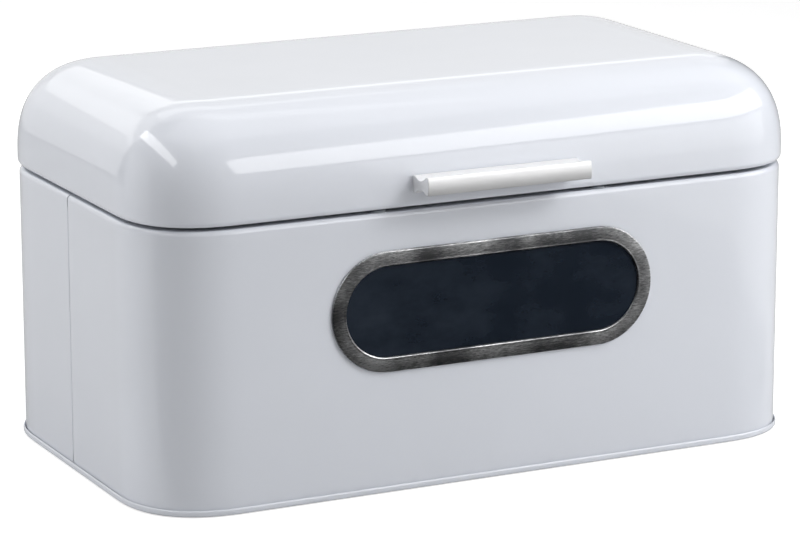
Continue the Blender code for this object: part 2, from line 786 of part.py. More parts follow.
def rivets(frame, steel, up, owner):
    """Domed heads on the leaf, shanks through leaf and wall, flat tails inside."""
    wall = LID_BACK if up > 0 else WALL_BACK
    inside = -(SHEET + FIT_GAP)
    outside = LID_BACK + LEAF_THICKNESS + 2 * FIT_GAP - wall
    head = RIVET_HEAD_RADIUS
    profile = [(0, outside + RIVET_HEAD_HEIGHT)]
    for step in range(1, 5):
        angle = math.pi / 2 * step / 4
        profile.append((head * math.sin(angle), outside + RIVET_HEAD_HEIGHT * math.cos(angle)))
    profile += [(RIVET_RADIUS, outside), (RIVET_RADIUS, inside), (RIVET_TAIL_RADIUS, inside)]
    profile += [(RIVET_TAIL_RADIUS, inside - RIVET_TAIL_HEIGHT), (0, inside - RIVET_TAIL_HEIGHT)]
    for number, (x, z) in enumerate(rivet_places(up), 1):
        rivet = turned(f"{owner}_rivet_{number}", profile, SMALL_SIDES)
        rivet.rotation_euler = (math.radians(-90), 0, 0)
        rivet.location = (x, wall, z)
        finish(rivet, frame, steel)


# ---------------------------------------------------------------- assembly


def main():
    clear_scene()
    new_collection(PARTS)
    new_collection(CUTTERS)
    paint = make_material("white_enamel", (0.86, 0.87, 0.89), 0.22)
    trim = make_material("trim_steel", (0.36, 0.37, 0.38), 0.38, 1.0)
    smoked = make_material("smoked_pane", (0.02, 0.03, 0.04), 0.05, alpha=0.85)
    aluminium = make_material("satin_aluminium", (0.8, 0.8, 0.81), 0.32, 1.0)
    steel = make_material("hinge_steel", (0.62, 0.62, 0.62), 0.3, 1.0)
    rubber = make_material("pad_rubber", (0.05, 0.05, 0.05), 0.8)
    silicone = make_material("clear_silicone", (0.75, 0.78, 0.8), 0.25, alpha=0.6)

    body = make_frame("body_frame", (0, body_shift(), 0))
    lid = make_frame("lid_hinge_axis", (0, AXIS_Y, AXIS_Z), body)

    front_wall(body, paint)
    back_wall(body, paint)
    base_pan(body, paint)
    foot_pads(body, rubber)
    lid_buffers(body, silicone)
    window_frame(body, trim)
    window_pane(body, smoked)
    window_retainer(body, trim)
    lid_shell(lid, paint)
    handle_bar(lid, aluminium)
    handle_screws(lid, steel)
    handle_washers(lid, steel)
    hinges(body, lid, steel)
    rivets(body, steel, -1, "body_leaf")
    rivets(lid, steel, 1, "lid_leaf")


main()
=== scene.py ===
import math

import bmesh
import bpy
import numpy as np
from mathutils import Matrix, Vector


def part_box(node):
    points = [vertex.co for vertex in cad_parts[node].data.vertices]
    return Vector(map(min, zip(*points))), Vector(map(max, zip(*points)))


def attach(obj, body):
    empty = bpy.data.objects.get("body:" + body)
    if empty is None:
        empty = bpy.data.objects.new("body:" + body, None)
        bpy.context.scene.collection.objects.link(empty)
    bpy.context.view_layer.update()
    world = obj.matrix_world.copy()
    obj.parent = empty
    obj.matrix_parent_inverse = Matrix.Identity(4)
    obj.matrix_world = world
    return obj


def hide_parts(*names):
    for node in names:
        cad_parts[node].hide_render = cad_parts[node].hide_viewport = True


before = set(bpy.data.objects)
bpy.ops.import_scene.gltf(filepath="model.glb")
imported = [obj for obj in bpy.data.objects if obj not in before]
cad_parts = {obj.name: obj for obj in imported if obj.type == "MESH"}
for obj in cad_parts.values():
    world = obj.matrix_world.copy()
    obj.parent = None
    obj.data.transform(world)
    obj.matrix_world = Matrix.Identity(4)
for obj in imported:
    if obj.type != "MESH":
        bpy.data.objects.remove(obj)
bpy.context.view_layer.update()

# A white enamelled bread bin with a lift-up lid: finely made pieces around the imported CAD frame.
# Metres, +Z up, the front towards -Y. Outlines and places come from the CAD nodes' boxes; the sizes
# named here are those that a box can't give, such as radii and sheet thickness.

MM = 0.001

FRONT_LOW, FRONT_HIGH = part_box("front_wall")
BACK_LOW, BACK_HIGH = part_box("back_wall")
LID_LOW, LID_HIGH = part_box("lid_shell")
PAN_LOW, PAN_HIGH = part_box("base_pan")
RING_LOW, RING_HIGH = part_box("window_frame")
PANE_LOW, PANE_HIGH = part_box("window_pane")
BAR_LOW, BAR_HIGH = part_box("handle_bar")
PIN_LOW, PIN_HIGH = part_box("hinge_pin_left")
LEAF_LOW, LEAF_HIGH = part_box("hinge_lid_leaf_left")

# Plan of the body; CUTTER_REACH is how far a cutter for a hole reaches on each side of a sheet
HALF_WIDTH = FRONT_HIGH.x
HALF_DEPTH = (BACK_HIGH.y - FRONT_LOW.y) / 2
MIDDLE_Y = (BACK_HIGH.y + FRONT_LOW.y) / 2
WALL_TOP = FRONT_HIGH.z
WALL_FOOT = FRONT_LOW.z
SHEET = 0.6 * MM
CORNER_REACH = 56 * MM
CORNER_POWER = 2.45
CORNER_STEPS = 26
CUTTER_REACH = 3 * MM

# Rolled edges of body and lid; LEDGE_ROUNDING holds a radius in mm and the end of its turn in degrees
LEDGE_REACH = 13 * MM
LEDGE_ROUNDING = ((2.8, 32), (4.0, 50), (1.2, 90))
LEDGE_LIP = 5 * MM
LIP_RADIUS = 1 * MM
LID_FLANGE_REACH = 9 * MM
LID_EDGE_RADIUS = 4 * MM
LID_LIP = 4 * MM

# Side seam: where the front and back walls meet, each with its edge turned softly in.
# SEAM_REACHES are the mesh's steps away from the edge, in mm.
SEAM_FRONT = FRONT_HIGH.y
SEAM_GAP = 0.6 * MM
SEAM_BACK = SEAM_FRONT + SEAM_GAP
SEAM_LAP = SEAM_FRONT - BACK_LOW.y
SEAM_ROLL = 0.45 * MM
SEAM_REACHES = (0.0, 0.06, 0.16, 0.3, 0.45, 1.0)
SEAM_SETBACK = 0.24 * MM
SEAM_LOW = 7 * MM
SEAM_TOP = 6.5 * MM
SEAM_FADE = 2.5 * MM
STRAP_FOOT = 8 * MM
STRAP_DROP = 3 * MM
STRAP_CURL = 0.8 * MM

# Base pan, foot pads and buffers; HOLLOW_RIM, HOLLOW_FLOOR and BUFFER_DOME are shares of a radius
PLATE_REACH = 15 * MM
BEAD_REACH = 1.6 * MM
BEAD_INNER = 2.4 * MM
BEAD_RADIUS = 1.1 * MM
BEAD_DROP = 0.7 * MM
PAD_RIM = 0.9 * MM
PAD_EDGE = 0.3 * MM
HOLLOW_RIM = 0.62
HOLLOW_FLOOR = 0.55
HOLLOW_EDGE_DEPTH = 0.35 * MM
HOLLOW_DEPTH = 0.45 * MM
BUFFER_FOOT = 0.3 * MM
BUFFER_DOME = 0.94

# Window: frame, pane, the frame's collar through the wall, and the retainer behind it
WINDOW_Z = (RING_LOW.z + RING_HIGH.z) / 2
WINDOW_RADIUS = (RING_HIGH.z - RING_LOW.z) / 2
WINDOW_STRAIGHT = RING_HIGH.x - WINDOW_RADIUS
FRAME_BAND = 8.9 * MM
FRAME_PROUD = FRONT_LOW.y - RING_LOW.y
FRAME_CROWN = 0.08 * MM
FRAME_EDGE = 0.8 * MM
FRAME_LIP = 0.9 * MM
FRAME_LIP_RISE = 0.06 * MM
PANE_EDGE = 0.15 * MM
COLLAR_OFFSET = 0.8 * MM
COLLAR_THICKNESS = 1 * MM
COLLAR_DEPTH = 2.1 * MM
RETAINER_THICKNESS = 1 * MM
RETAINER_INSET = 0.6 * MM
RETAINER_EDGE = 0.25 * MM
FIT_GAP = 0.3 * MM

# Handle: a foot on the lid, a hollowed waist and a front plate, held by screws from inside
HANDLE_LENGTH = BAR_HIGH.x - BAR_LOW.x
HANDLE_Z = 180.2 * MM
HANDLE_REACH = 19.4 * MM
FOOT_HEIGHT = 10 * MM
PLATE_HEIGHT = 10.4 * MM
PLATE_LIFT = 0.7 * MM
FLANGE_THICKNESS = 2.4 * MM
WAIST_DEPTH = 2.6 * MM
PLATE_CROWN = 0.7 * MM
BAR_EDGE = 0.35 * MM
SCREW_RADIUS = 2 * MM
SCREW_HEAD_RADIUS = 3.8 * MM
SCREW_HEAD_HEIGHT = 2.4 * MM
SCREW_HEAD_EDGE = 0.2 * MM
SCREW_HEAD_FULLNESS = 0.6
RECESS_REACH = 1.9 * MM
RECESS_DEPTH = 1.3 * MM
WASHER_RADIUS = 4.6 * MM
WASHER_THICKNESS = 0.8 * MM
WASHER_EDGE = 0.15 * MM

# Hinges: leaves, pins and rivets, each rivet with a dimpled tail
AXIS_Y = (PIN_LOW.y + PIN_HIGH.y) / 2
AXIS_Z = (PIN_LOW.z + PIN_HIGH.z) / 2
HINGE_X = (LEAF_LOW.x + LEAF_HIGH.x) / 2
HINGE_WIDTH = LEAF_HIGH.x - LEAF_LOW.x
LEAF_THICKNESS = 1 * MM
LEAF_HEIGHT = LEAF_HIGH.z - AXIS_Z
LEAF_EDGE = 0.18 * MM
BEND_START = 5.2 * MM
BEND_END = 3.2 * MM
KNUCKLE_RADIUS = 2.5 * MM
KNUCKLE_TURN = 285
KNUCKLE_MIDDLE = 12 * MM
PIN_RADIUS = 1.2 * MM
PIN_HEAD_RADIUS = 1.9 * MM
PIN_SLACK = 0.1 * MM
RIVET_X = 10.5 * MM
RIVET_DROP = 11 * MM
RIVET_RADIUS = 1.5 * MM
RIVET_HEAD_RADIUS = 2.8 * MM
RIVET_HEAD_RISE = 1.2 * MM
RIVET_HEAD_EDGE = 0.15 * MM
RIVET_SEAT = 0.02 * MM
RIVET_TAIL_RADIUS = 2.4 * MM
RIVET_TAIL_SEAT = 0.05 * MM
RIVET_TAIL_DEPTH = 0.9 * MM
RIVET_TAIL_EDGE = 0.3 * MM
DIMPLE_RADIUS = 1.1 * MM
DIMPLE_DEPTH = 0.5 * MM

# Air holes
VENT_RADIUS = 2.5 * MM
VENT_PITCH = 12 * MM
VENT_COLUMNS = 5
VENT_ROWS = 2
VENT_Z = 128 * MM

SIDES = ((-1, "left"), (1, "right"))


# ---------------------------------------------------------------- mesh helpers


def new_object(name, mesh):
    obj = bpy.data.objects.new(name, mesh)
    bpy.context.scene.collection.objects.link(obj)
    return obj


def object_from(bm, name):
    mesh = bpy.data.meshes.new(name)
    bm.to_mesh(mesh)
    bm.free()
    return new_object(name, mesh)


def edit(obj, change):
    """Runs a change on the object's mesh as a bmesh."""
    bm = bmesh.new()
    bm.from_mesh(obj.data)
    change(bm)
    bm.to_mesh(obj.data)
    bm.free()
    return obj


def apply_modifiers(obj):
    depsgraph = bpy.context.evaluated_depsgraph_get()
    mesh = bpy.data.meshes.new_from_object(obj.evaluated_get(depsgraph))
    obj.modifiers.clear()
    obj.data = mesh
    return obj


def face_outward(obj):
    return edit(obj, lambda bm: bmesh.ops.recalc_face_normals(bm, faces=bm.faces))


def thicken(obj, thickness, offset=0.0):
    modifier = obj.modifiers.new("Sheet", "SOLIDIFY")
    modifier.thickness = thickness
    modifier.offset = offset
    modifier.use_even_offset = True
    modifier.use_rim = True
    return face_outward(apply_modifiers(obj))


def soften(obj, width, segments=2, angle=32):
    """Rounds the edges sharper than an angle in degrees."""
    modifier = obj.modifiers.new("Edges", "BEVEL")
    modifier.width = width
    modifier.segments = segments
    modifier.limit_method = "ANGLE"
    modifier.angle_limit = math.radians(angle)
    modifier.use_clamp_overlap = True
    modifier.harden_normals = False
    return apply_modifiers(obj)


def cut(obj, *cutters):
    """Takes the cutters' shapes out of the object, and removes the cutters."""
    for cutter in cutters:
        modifier = obj.modifiers.new("Cut", "BOOLEAN")
        modifier.operation = "DIFFERENCE"
        modifier.object = cutter
        modifier.solver = "EXACT"
    apply_modifiers(obj)
    for cutter in cutters:
        bpy.data.objects.remove(cutter, do_unlink=True)
    return obj


def bake_place(obj, place):
    obj.data.transform(place)
    return obj


def piece(obj, material, body, slot, *nodes, smooth_angle=40):
    """Finishes a piece of the object: material, shading, the body it rides on, and hiding the CAD parts
    it stands for.
    """
    obj.data.materials.clear()
    obj.data.materials.append(material)
    obj.data.shade_smooth()
    obj.data.set_sharp_from_angle(angle=math.radians(smooth_angle))
    shading = obj.modifiers.new("Shading", "WEIGHTED_NORMAL")
    shading.keep_sharp = True
    shading.weight = 100
    apply_modifiers(obj)
    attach(obj, body)
    if nodes:
        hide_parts(*nodes)
    return obj


def arc(centre, radius, start, end, steps):
    """Points on an arc, in degrees, with both ends."""
    points = []
    for step in range(steps + 1):
        angle = math.radians(start + (end - start) * step / steps)
        points.append((centre[0] + radius * math.cos(angle), centre[1] + radius * math.sin(angle)))
    return points


def inward_ways(path, closed):
    """The mitred way inward at each point of a clockwise path in XY."""
    ahead = np.roll(path, -1, axis=0) - path
    ahead /= np.linalg.norm(ahead, axis=1)[:, None]
    right = np.stack([ahead[:, 1], -ahead[:, 0]], axis=1)
    before = np.roll(right, 1, axis=0)
    if not closed:
        right[-1] = right[-2]
        before[0] = right[0]
    return (right + before) / (1 + (right * before).sum(axis=1))[:, None]


def sweep(name, path, section, path_closed, section_closed):
    """A section of (inward, height) points carried along a clockwise path in XY."""
    path = np.array(path, float)
    ways = inward_ways(path, path_closed)
    bm = bmesh.new()
    rings = []
    for place, way in zip(path, ways):
        rings.append([bm.verts.new((*(place + way * inward), height)) for inward, height in section])
    along = len(rings) if path_closed else len(rings) - 1
    across = len(section) if section_closed else len(section) - 1
    for row in range(along):
        near = rings[row]
        far = rings[(row + 1) % len(rings)]
        for column in range(across):
            other = (column + 1) % len(section)
            bm.faces.new((near[column], far[column], far[other], near[other]))
    return face_outward(object_from(bm, name))


def turned(name, profile, place, steps=40):
    """A profile of (radius, height) points turned about Z, then put in place."""
    bm = bmesh.new()
    rings = []
    for radius, height in profile:
        if radius < 1e-7:
            rings.append([bm.verts.new((0, 0, height))])
            continue
        angles = [2 * math.pi * step / steps for step in range(steps)]
        rings.append([bm.verts.new((radius * math.cos(a), radius * math.sin(a), height)) for a in angles])
    for upper, lower in zip(rings, rings[1:]):
        for step in range(steps):
            corners = [upper[step % len(upper)], upper[(step + 1) % len(upper)]]
            corners += [lower[(step + 1) % len(lower)], lower[step % len(lower)]]
            bm.faces.new(list(dict.fromkeys(corners)))
    return bake_place(face_outward(object_from(bm, name)), place)


def prism(name, outline, low, high):
    """An outline in XY drawn out along Z, with flat ends."""
    bm = bmesh.new()
    floor = [bm.verts.new((x, y, low)) for x, y in outline]
    roof = [bm.verts.new((x, y, high)) for x, y in outline]
    for index in range(len(outline)):
        other = (index + 1) % len(outline)
        bm.faces.new((floor[index], floor[other], roof[other], roof[index]))
    bm.faces.new(floor)
    bm.faces.new(roof)
    return face_outward(object_from(bm, name))


def rod(name, radius, place, half_length, sides=40):
    """A closed round rod along its own Z."""
    circle = arc((0, 0), radius, 0, 360, sides)[:-1]
    return bake_place(prism(name, circle, -half_length, half_length), place)


# ---------------------------------------------------------------- outlines and sections


def corner(side, end):
    """The plan's corner, from the side wall to the front or back wall: a superellipse quarter."""
    points = []
    power = 2 / CORNER_POWER
    for step in range(CORNER_STEPS + 1):
        angle = math.pi / 2 * step / CORNER_STEPS
        x = HALF_WIDTH - CORNER_REACH + CORNER_REACH * abs(math.cos(angle)) ** power
        y = HALF_DEPTH - CORNER_REACH + CORNER_REACH * abs(math.sin(angle)) ** power
        points.append((side * x, MIDDLE_Y + end * y))
    return points


def half_outline(end, seam_y):
    """The front (end = -1) or back wall's plan, clockwise, with close steps next to both seams."""
    near_seam = [(HALF_WIDTH, seam_y + end * reach * MM) for reach in SEAM_REACHES]
    first = [(-end * x, y) for x, y in near_seam]
    last = [(end * x, y) for x, y in reversed(near_seam)]
    return first + corner(-end, end) + corner(end, end)[::-1] + last


def plan_outline():
    corners = []
    for side, end in ((1, -1), (-1, -1), (-1, 1), (1, 1)):
        points = corner(side, end)
        corners += points if side * end < 0 else points[::-1]
    return corners


def slot_outline(radius, steps=40):
    """The window's shape, clockwise: two half circles joined by straight sides."""
    points = []
    for side, start in ((1, 90), (-1, 270)):
        points += arc((side * WINDOW_STRAIGHT, 0), radius, start, start - 180, steps)
    return points


def rim_points(start, top):
    """The wall's rolled edge up to its flat top: arcs of (radius in mm, end of the turn in degrees)."""
    points = [Vector((start, 0))]
    turned_to = 0
    for radius, end in LEDGE_ROUNDING:
        for step in range(1, 6):
            angle = math.radians(turned_to + (end - turned_to) * (step - 0.5) / 5)
            length = radius * MM * math.radians(end - turned_to) / 5
            points.append(points[-1] + Vector((math.sin(angle), math.cos(angle))) * length)
        turned_to = end
    drop = top - points[-1].y
    return [(point.x, point.y + drop) for point in points]


def wall_section():
    """From the foot of the wall up, over its rolled top and down the inner lip."""
    middle = SHEET / 2
    top = WALL_TOP - middle
    section = [(middle, WALL_FOOT)]
    for height in (SEAM_LOW, SEAM_LOW + SEAM_FADE, WALL_TOP - SEAM_TOP - SEAM_FADE, WALL_TOP - SEAM_TOP):
        section.append((middle, height))
    section += rim_points(middle, top)
    section += arc((LEDGE_REACH - LIP_RADIUS, top - LIP_RADIUS), LIP_RADIUS, 90, 0, 5)
    section += [(LEDGE_REACH, top - LEDGE_LIP)]
    return section


def lid_roll():
    """How the lid's lower edge turns in: steps of (inward, height) from the wall's lower edge."""
    radius = LID_EDGE_RADIUS - SHEET
    points = arc((radius, 0), radius, 180, 270, 10)
    points += arc((LID_FLANGE_REACH - LIP_RADIUS, LIP_RADIUS - radius), LIP_RADIUS, 270, 360, 5)
    points += [(LID_FLANGE_REACH, LID_LIP - radius)]
    return points


def pan_section():
    """From the flat of the pan out and down, round below the wall's foot and up its outer face."""
    middle = SHEET / 2
    radius = BEAD_RADIUS
    outer = middle - BEAD_REACH
    bottom = PAN_LOW.z + middle
    plate = PAN_HIGH.z - middle
    rim = plate - BEAD_DROP
    section = [(PLATE_REACH, plate)]
    section += arc((BEAD_INNER + radius, plate - radius), radius, 90, 180, 6)
    section += arc((BEAD_INNER - radius, bottom + radius), radius, 0, -90, 6)
    section += arc((outer + radius, bottom + radius), radius, 270, 180, 6)
    section += arc((outer + radius, rim - radius), radius, 180, 120, 4)
    return section


# ---------------------------------------------------------------- body


def turn_in_seams(obj, seam_y, end):
    """Curves the wall in at its seam edges, set back a little for the sheet's own thickness."""
    for vert in obj.data.vertices:
        away = abs(vert.co.y - seam_y)
        if away > SEAM_ROLL * 2 or abs(vert.co.x) < HALF_WIDTH - LEDGE_REACH - SHEET:
            continue
        height = vert.co.z
        up = min(max((height - SEAM_LOW) / SEAM_FADE, 0), 1)
        down = min(max((WALL_TOP - SEAM_TOP - height) / SEAM_FADE, 0), 1)
        turned_in = up * down
        reach = max(SEAM_ROLL - away, 0)
        depth = SEAM_ROLL - math.sqrt(SEAM_ROLL**2 - reach**2)
        vert.co.x -= math.copysign(depth * turned_in, vert.co.x)
        closeness = max(1 - away / SEAM_ROLL, 0)
        vert.co.y += end * SEAM_SETBACK * closeness


def wall(name, end, seam_y):
    sheet = sweep(name, half_outline(end, seam_y), wall_section(), False, False)
    turn_in_seams(sheet, seam_y, end)
    return thicken(sheet, SHEET)


def stand_on_front():
    """The place of a piece made in XY that faces -Y at the window's centre, on the wall's outer face."""
    return Matrix.Translation((0, FRONT_LOW.y, WINDOW_Z)) @ Matrix.Rotation(math.radians(90), 4, "X")


def front_wall(paint):
    radius = WINDOW_RADIUS - FRAME_BAND + COLLAR_OFFSET + COLLAR_THICKNESS + FIT_GAP
    cutter = prism("window_cutter", slot_outline(radius), -CUTTER_REACH, CUTTER_REACH)
    obj = cut(wall("body_front", -1, SEAM_FRONT), bake_place(cutter, stand_on_front()))
    return piece(obj, paint, "body", "white_enamel", "front_wall")


def through_back(name, radius, x, z, y):
    place = Matrix.Translation((x, y, z)) @ Matrix.Rotation(math.radians(90), 4, "X")
    return rod(name, radius, place, CUTTER_REACH)


def back_wall(paint):
    holes = [through_back("rivet_cutter", RIVET_RADIUS, x, z, BACK_HIGH.y) for x, z in rivet_places(-1)]
    for column in range(VENT_COLUMNS):
        for row in range(VENT_ROWS):
            x = (column - (VENT_COLUMNS - 1) / 2) * VENT_PITCH
            z = VENT_Z + row * VENT_PITCH
            holes.append(through_back("vent_cutter", VENT_RADIUS, x, z, BACK_HIGH.y))
    obj = cut(wall("body_back", 1, SEAM_BACK), *holes)
    return piece(obj, paint, "body", "white_enamel", "back_wall")


def seam_straps(paint):
    """Behind each seam a strap with curled edges, fixed to the back wall, laps the front wall."""
    low = WALL_FOOT + STRAP_FOOT
    high = WALL_TOP - LEDGE_LIP - STRAP_DROP
    middle = (SEAM_FRONT + SEAM_BACK) / 2
    curl = STRAP_CURL
    inner = HALF_WIDTH - SHEET - SEAM_ROLL - FIT_GAP
    for side, side_name in SIDES:
        profile = arc((inner - curl, middle - SEAM_LAP + curl), curl, -90, 0, 4)
        profile += arc((inner - curl, middle + SEAM_LAP - curl), curl, 0, 90, 4)
        path = [(side * x, y) for x, y in profile]
        section = [(0, low), (0, high)]
        strap = sweep(f"seam_strap_{side_name}", path, section, False, False)
        strap = soften(thicken(strap, SHEET), SHEET / 4)
        piece(strap, paint, "body", "white_enamel")


def in_plate(vert):
    """Whether a vertex lies on the flat of the pan, within its bead."""
    inside_x = abs(vert.co.x) < HALF_WIDTH - PLATE_REACH + MM
    inside_y = abs(vert.co.y - MIDDLE_Y) < HALF_DEPTH - PLATE_REACH + MM
    return inside_x and inside_y and vert.co.z > PAN_HIGH.z / 2 + MM


def close_plate(bm):
    inner = [edge for edge in bm.edges if edge.is_boundary and in_plate(edge.verts[0])]
    bmesh.ops.contextual_create(bm, geom=inner)
    bmesh.ops.recalc_face_normals(bm, faces=bm.faces)


def base_pan(paint):
    pan = edit(sweep("base", plan_outline(), pan_section(), True, False), close_plate)
    return piece(thicken(pan, SHEET), paint, "body", "white_enamel", "base_pan")


def foot_pads(rubber):
    """Rubber pads with a rounded rim and a shallow hollow below."""
    for end in ("front", "back"):
        for _, side in SIDES:
            node = f"foot_pad_{end}_{side}"
            low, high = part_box(node)
            radius = (high.x - low.x) / 2
            height = high.z - low.z
            profile = [(0, height), (radius - PAD_EDGE, height), (radius, height - PAD_EDGE)]
            profile += arc((radius - PAD_RIM, PAD_RIM), PAD_RIM, 0, -90, 6)
            profile += [(radius * HOLLOW_RIM, 0), (radius * HOLLOW_FLOOR, HOLLOW_EDGE_DEPTH)]
            profile.append((0, HOLLOW_DEPTH))
            place = Matrix.Translation(((low.x + high.x) / 2, (low.y + high.y) / 2, low.z))
            pad = turned(f"pad_{end}_{side}", profile, place)
            piece(pad, rubber, "body", "pad_rubber", node)


def lid_buffers(silicone):
    """Clear domes with a thin foot, on the body's ledge below the lid's edge."""
    for _, side in SIDES:
        node = "lid_buffer_" + side
        low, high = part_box(node)
        radius = (high.x - low.x) / 2
        height = high.z - low.z
        foot = BUFFER_FOOT
        dome = radius * BUFFER_DOME
        profile = [(0, height)]
        for step in range(1, 11):
            angle = math.pi / 2 * step / 10
            profile.append((dome * math.sin(angle), foot + (height - foot) * math.cos(angle)))
        profile += [(radius, foot * 0.7), (radius, 0), (0, 0)]
        place = Matrix.Translation(((low.x + high.x) / 2, (low.y + high.y) / 2, low.z))
        piece(turned("buffer_" + side, profile, place), silicone, "body", "clear_silicone", node)


# ---------------------------------------------------------------- window


def window_ring(name, section):
    ring = sweep(name, slot_outline(WINDOW_RADIUS, 48), section, True, True)
    return bake_place(ring, stand_on_front())


def window_frame(metal):
    """A pressed band: rounded outer edge, crowned face, rolled inner lip, collar through the wall."""
    band = FRAME_BAND
    edge = FRAME_EDGE
    shoulder = FRAME_PROUD - FRAME_CROWN
    flat_start = edge * 1.2
    flat_end = band - FRAME_LIP * 1.4
    section = [(0, FIT_GAP / 2)]
    section += arc((edge, shoulder - edge), edge, 180, 100, 8)
    for step in range(9):
        part = step / 8
        across = flat_start + (flat_end - flat_start) * part
        section.append((across, shoulder + FRAME_CROWN * math.sin(math.pi * part)))
    section += arc((band - FRAME_LIP, shoulder - FRAME_LIP + FRAME_LIP_RISE), FRAME_LIP, 100, 0, 10)
    section += [(band, FIT_GAP * 2), (band - COLLAR_OFFSET, FIT_GAP * 2)]
    section += [(band - COLLAR_OFFSET, -COLLAR_DEPTH)]
    section += [(band - COLLAR_OFFSET - COLLAR_THICKNESS, -COLLAR_DEPTH)]
    section += [(band - COLLAR_OFFSET - COLLAR_THICKNESS, FIT_GAP / 2)]
    return piece(window_ring("window_ring", section), metal, "body", "trim_steel", "window_frame")


def window_pane(smoked):
    radius = (PANE_HIGH.z - PANE_LOW.z) / 2
    back = FRONT_LOW.y - PANE_HIGH.y
    front = FRONT_LOW.y - PANE_LOW.y
    pane = bake_place(prism("window_glazing", slot_outline(radius, 48), back, front), stand_on_front())
    return piece(soften(pane, PANE_EDGE, 2), smoked, "body", "smoked_pane", "window_pane")


def window_retainer(metal):
    """The ring inside the body: a band behind the pane and collar, with an outer leg on the wall."""
    low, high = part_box("window_retainer")
    outer = WINDOW_RADIUS - (high.z - low.z) / 2
    inner = FRAME_BAND + RETAINER_INSET
    front = -COLLAR_DEPTH - FIT_GAP
    back = front - RETAINER_THICKNESS
    leg = -SHEET - FIT_GAP / 2
    section = [(outer, back), (outer, leg), (outer + RETAINER_THICKNESS, leg)]
    section += [(outer + RETAINER_THICKNESS, front), (inner, front), (inner, back)]
    ring = soften(window_ring("window_clamp", section), RETAINER_EDGE, 2, 50)
    return piece(ring, metal, "body", "trim_steel", "window_retainer")


# ---------------------------------------------------------------- lid


def lid_rise(z):
    """How far up the lid's rounding a height lies, from 0 where it starts to 1 at the top."""
    return (z - (LID_HIGH.z - CORNER_REACH)) / CORNER_REACH


def lid_inset(z):
    """How far the lid's wall has curved in from its lower edge at a height on its rounding."""
    return CORNER_REACH * (1 - (1 - lid_rise(z) ** CORNER_POWER) ** (1 / CORNER_POWER))


def lid_lean(z):
    """The angle between the lid's wall and the vertical at a height on its rounding."""
    rise = lid_rise(z)
    slope = rise ** (CORNER_POWER - 1) / (1 - rise**CORNER_POWER) ** (1 - 1 / CORNER_POWER)
    return math.atan(slope)


def handle_place():
    """The handle's seat on the lid: -Y square out of the leaning wall, +Z up along it."""
    seat = Vector((0, LID_LOW.y + lid_inset(HANDLE_Z), HANDLE_Z))
    return Matrix.Translation(seat) @ Matrix.Rotation(-lid_lean(HANDLE_Z), 4, "X")


def roll_in(bm, steps):
    """Extrudes the open lower edge along (inward, height) steps, square to the wall at each point."""
    bm.normal_update()
    edges = [edge for edge in bm.edges if edge.is_boundary]
    verts = {vert for edge in edges for vert in edge.verts}
    ways = {tuple(vert.co.xy): Vector((vert.normal.x, vert.normal.y, 0)).normalized() for vert in verts}
    base = {vert: vert.co.copy() for vert in verts}
    for inward, height in steps[1:]:
        made = bmesh.ops.extrude_edge_only(bm, edges=edges)["geom"]
        new_verts = [item for item in made if isinstance(item, bmesh.types.BMVert)]
        places = {tuple(old.co): start for old, start in base.items()}
        base = {vert: places[tuple(vert.co)] for vert in new_verts}
        for vert, start in base.items():
            vert.co = start - ways[tuple(start.xy)] * inward + Vector((0, 0, height))
        edges = [item for item in made if isinstance(item, bmesh.types.BMEdge) and item.is_boundary]
    bmesh.ops.recalc_face_normals(bm, faces=bm.faces)


def lid_form():
    """A box without its lower face, with every edge rounded to the corner's curve."""
    low = LID_LOW.z + LID_EDGE_RADIUS - SHEET
    middle = Vector((0, (LID_LOW.y + LID_HIGH.y) / 2, (LID_HIGH.z + low) / 2))
    size = Vector((LID_HIGH.x - LID_LOW.x, LID_HIGH.y - LID_LOW.y, LID_HIGH.z - low))
    bm = bmesh.new()
    bmesh.ops.create_cube(bm, size=1, matrix=Matrix.Translation(middle) @ Matrix.Diagonal((*size, 1)))
    bmesh.ops.delete(bm, geom=[face for face in bm.faces if face.normal.z < -0.5], context="FACES_ONLY")
    form = object_from(bm, "lid")
    bevel = form.modifiers.new("Rounding", "BEVEL")
    bevel.width = CORNER_REACH
    bevel.segments = CORNER_STEPS
    bevel.profile = 2 ** (-2 / CORNER_POWER)
    bevel.limit_method = "ANGLE"
    return apply_modifiers(form)


def lid(paint):
    """One pressed shell whose lower edge is rolled in, with holes for rivets and handle screws."""
    shell = edit(lid_form(), lambda bm: roll_in(bm, lid_roll()))
    thicken(shell, SHEET, -1.0)
    cutters = [through_back("rivet_cutter", RIVET_RADIUS, x, z, LID_HIGH.y) for x, z in rivet_places(1)]
    for node in ("handle_screw_left", "handle_screw_right"):
        low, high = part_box(node)
        place = point_outward((low.x + high.x) / 2, 0)
        cutters.append(rod("screw_cutter", SCREW_RADIUS, place, CUTTER_REACH))
    return piece(cut(shell, *cutters), paint, "lid", "white_enamel", "lid_shell")


def handle_section():
    """The bar's outline as (outward, height): foot on the lid, hollowed waist, crowned front plate."""
    foot = FOOT_HEIGHT / 2
    plate = PLATE_HEIGHT / 2
    inner = FLANGE_THICKNESS
    outer = HANDLE_REACH - PLATE_CROWN - FLANGE_THICKNESS
    parts = [step / 18 for step in range(19)]
    upper = []
    lower = []
    for part in parts:
        hollow = WAIST_DEPTH * math.sin(math.pi * part)
        across = inner + (outer - inner) * part
        upper.append((across, foot + (plate + PLATE_LIFT - foot) * part - hollow))
        lower.append((across, -foot + (PLATE_LIFT - plate + foot) * part + hollow))
    front = []
    for part in parts:
        height = PLATE_LIFT + plate - PLATE_HEIGHT * part
        front.append((HANDLE_REACH - PLATE_CROWN * (2 * part - 1) ** 2, height))
    return [(0, foot)] + upper + front + lower[::-1] + [(0, -foot)]


